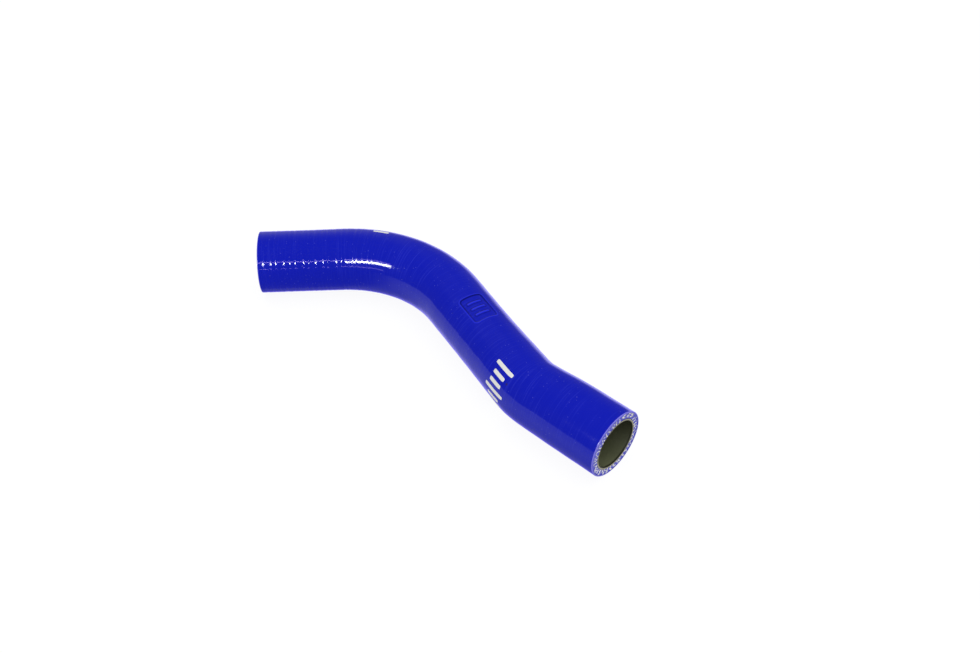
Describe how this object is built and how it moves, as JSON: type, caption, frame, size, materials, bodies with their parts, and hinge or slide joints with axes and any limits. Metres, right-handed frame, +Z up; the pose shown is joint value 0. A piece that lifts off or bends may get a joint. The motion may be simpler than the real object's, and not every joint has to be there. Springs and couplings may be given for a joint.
{
  "type": "turbo intake breather hose",
  "caption": "Blue moulded silicone breather hose with a shallow S bend, a constant round bore and a plain cut cuff at each end.",
  "frame": {"origin": "on the surface that the hose lies on, under the middle of its bounding box", "axes": "+X along cuff A, from its mouth into the hose, which is also the longest extent; +Y across; +Z up, square to the plane of both bends"},
  "size_m": [0.1894, 0.1726, 0.035],
  "materials": {
    "silicone_cover": "glossy deep blue silicone cover with fine wrap lines",
    "ply_matrix": "light blue silicone between the reinforcing plies, seen at the cut ends",
    "ply_yarn": "white polyester yarn ends, cut flush",
    "bore_liner": "satin dark olive-grey oil resistant liner with a grey-beige cut edge",
    "white_print": "thin white ink in a ring of plain tick marks"
  },
  "bodies": {
    "root": {"hose": "silicone_cover"}
  },
  "joints": []
}
